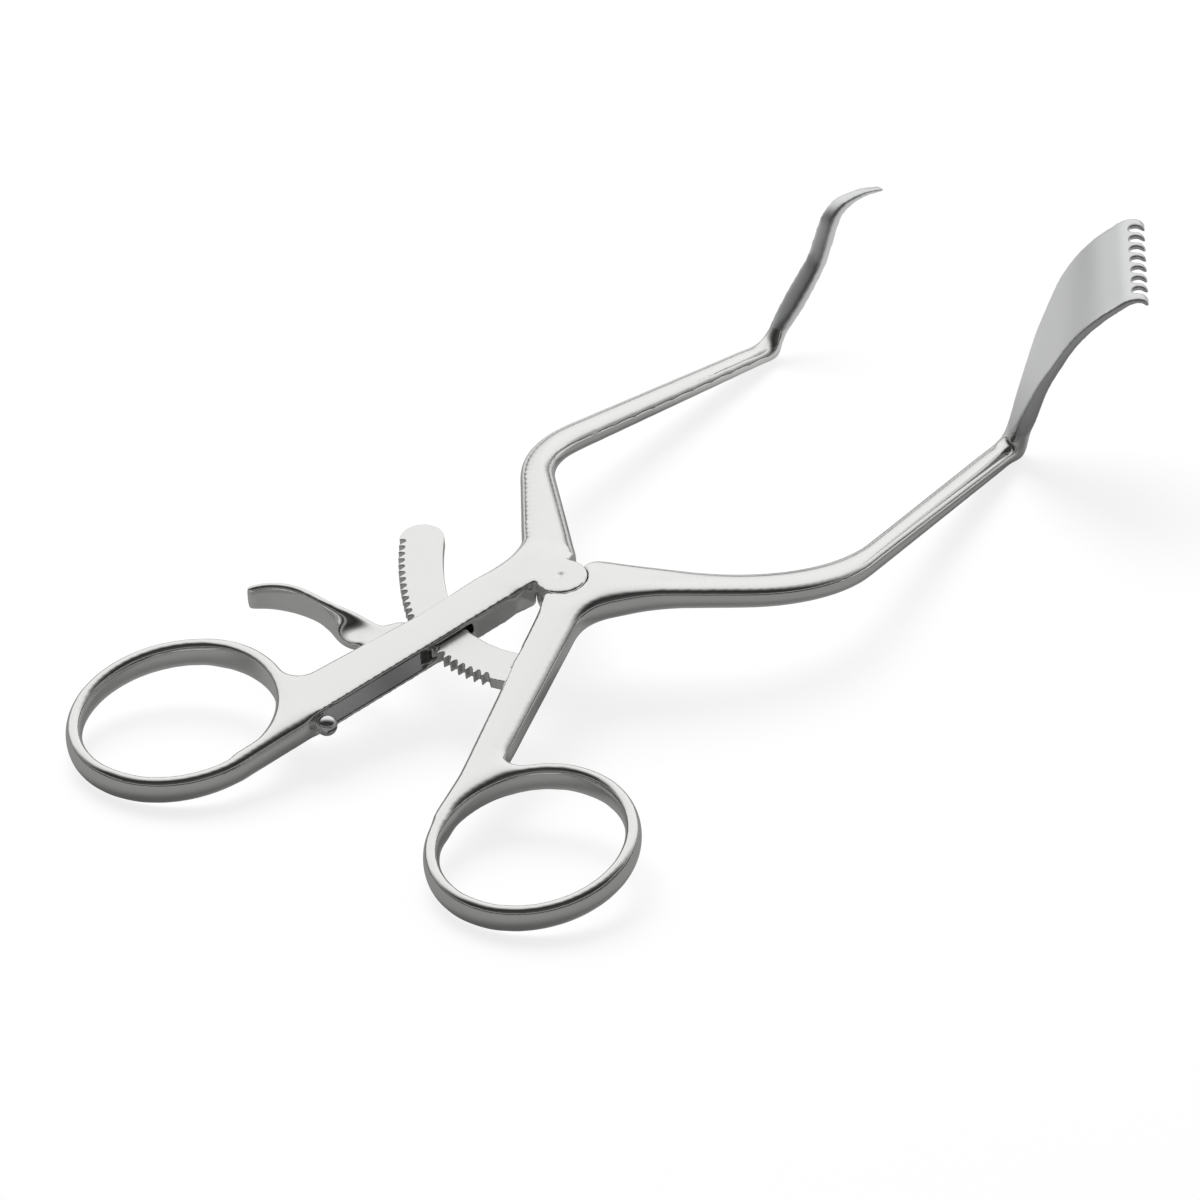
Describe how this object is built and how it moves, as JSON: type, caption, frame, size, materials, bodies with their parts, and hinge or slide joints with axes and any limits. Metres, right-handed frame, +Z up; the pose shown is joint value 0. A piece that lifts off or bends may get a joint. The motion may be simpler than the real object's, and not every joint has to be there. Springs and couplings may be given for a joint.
{
  "type": "self-retaining retractor",
  "caption": "Self-retaining surgical retractor: two finger-ring handles on a lapped pivot, a ratchet arc with release lever, and sloping arms with a toothed rake blade and a single hook.",
  "frame": {"origin": "centre of the bounding box on the table that the finger rings and the knees of the arms rest on", "axes": "+Y from the finger rings to the blades, along the instrument; +X to the right seen from above, the side of the toothed rake; +Z up from the table"},
  "size_m": [0.099, 0.1915, 0.0362],
  "materials": {
    "polished_steel": "fine satin, near mirror on the rounded edges",
    "pin_steel": "polished pins and screw head, ground flush",
    "spring_steel": "rolled spring strip"
  },
  "bodies": {
    "left_half": {"left_arm": "polished_steel", "left_prong": "polished_steel", "joint_pin": "pin_steel", "lever_pin": "pin_steel", "leaf_spring": "spring_steel", "spring_screw": "pin_steel"},
    "right_half": {"right_arm": "polished_steel", "right_blade": "polished_steel", "ratchet_rack": "polished_steel", "rack_rivet_front": "pin_steel", "rack_rivet_rear": "pin_steel"},
    "lever": {"release_lever": "polished_steel"}
  },
  "joints": [
    {"name": "spread_hinge", "type": "hinge", "parent": "left_half", "child": "right_half", "pos_m": [0.0022, -0.02308, 0.01554], "axis": [0, 0.1771, -0.9842], "range_deg": [-20, 24]},
    {"name": "lever_release", "type": "hinge", "parent": "left_half", "child": "lever", "pos_m": [-0.0107, -0.04867, 0.01094], "axis": [0, -0.1771, 0.9842], "range_deg": [0, 10], "stiffness_Nm_per_rad": 0.15, "springref_deg": -6.88, "deforming": ["leaf_spring"]}
  ]
}
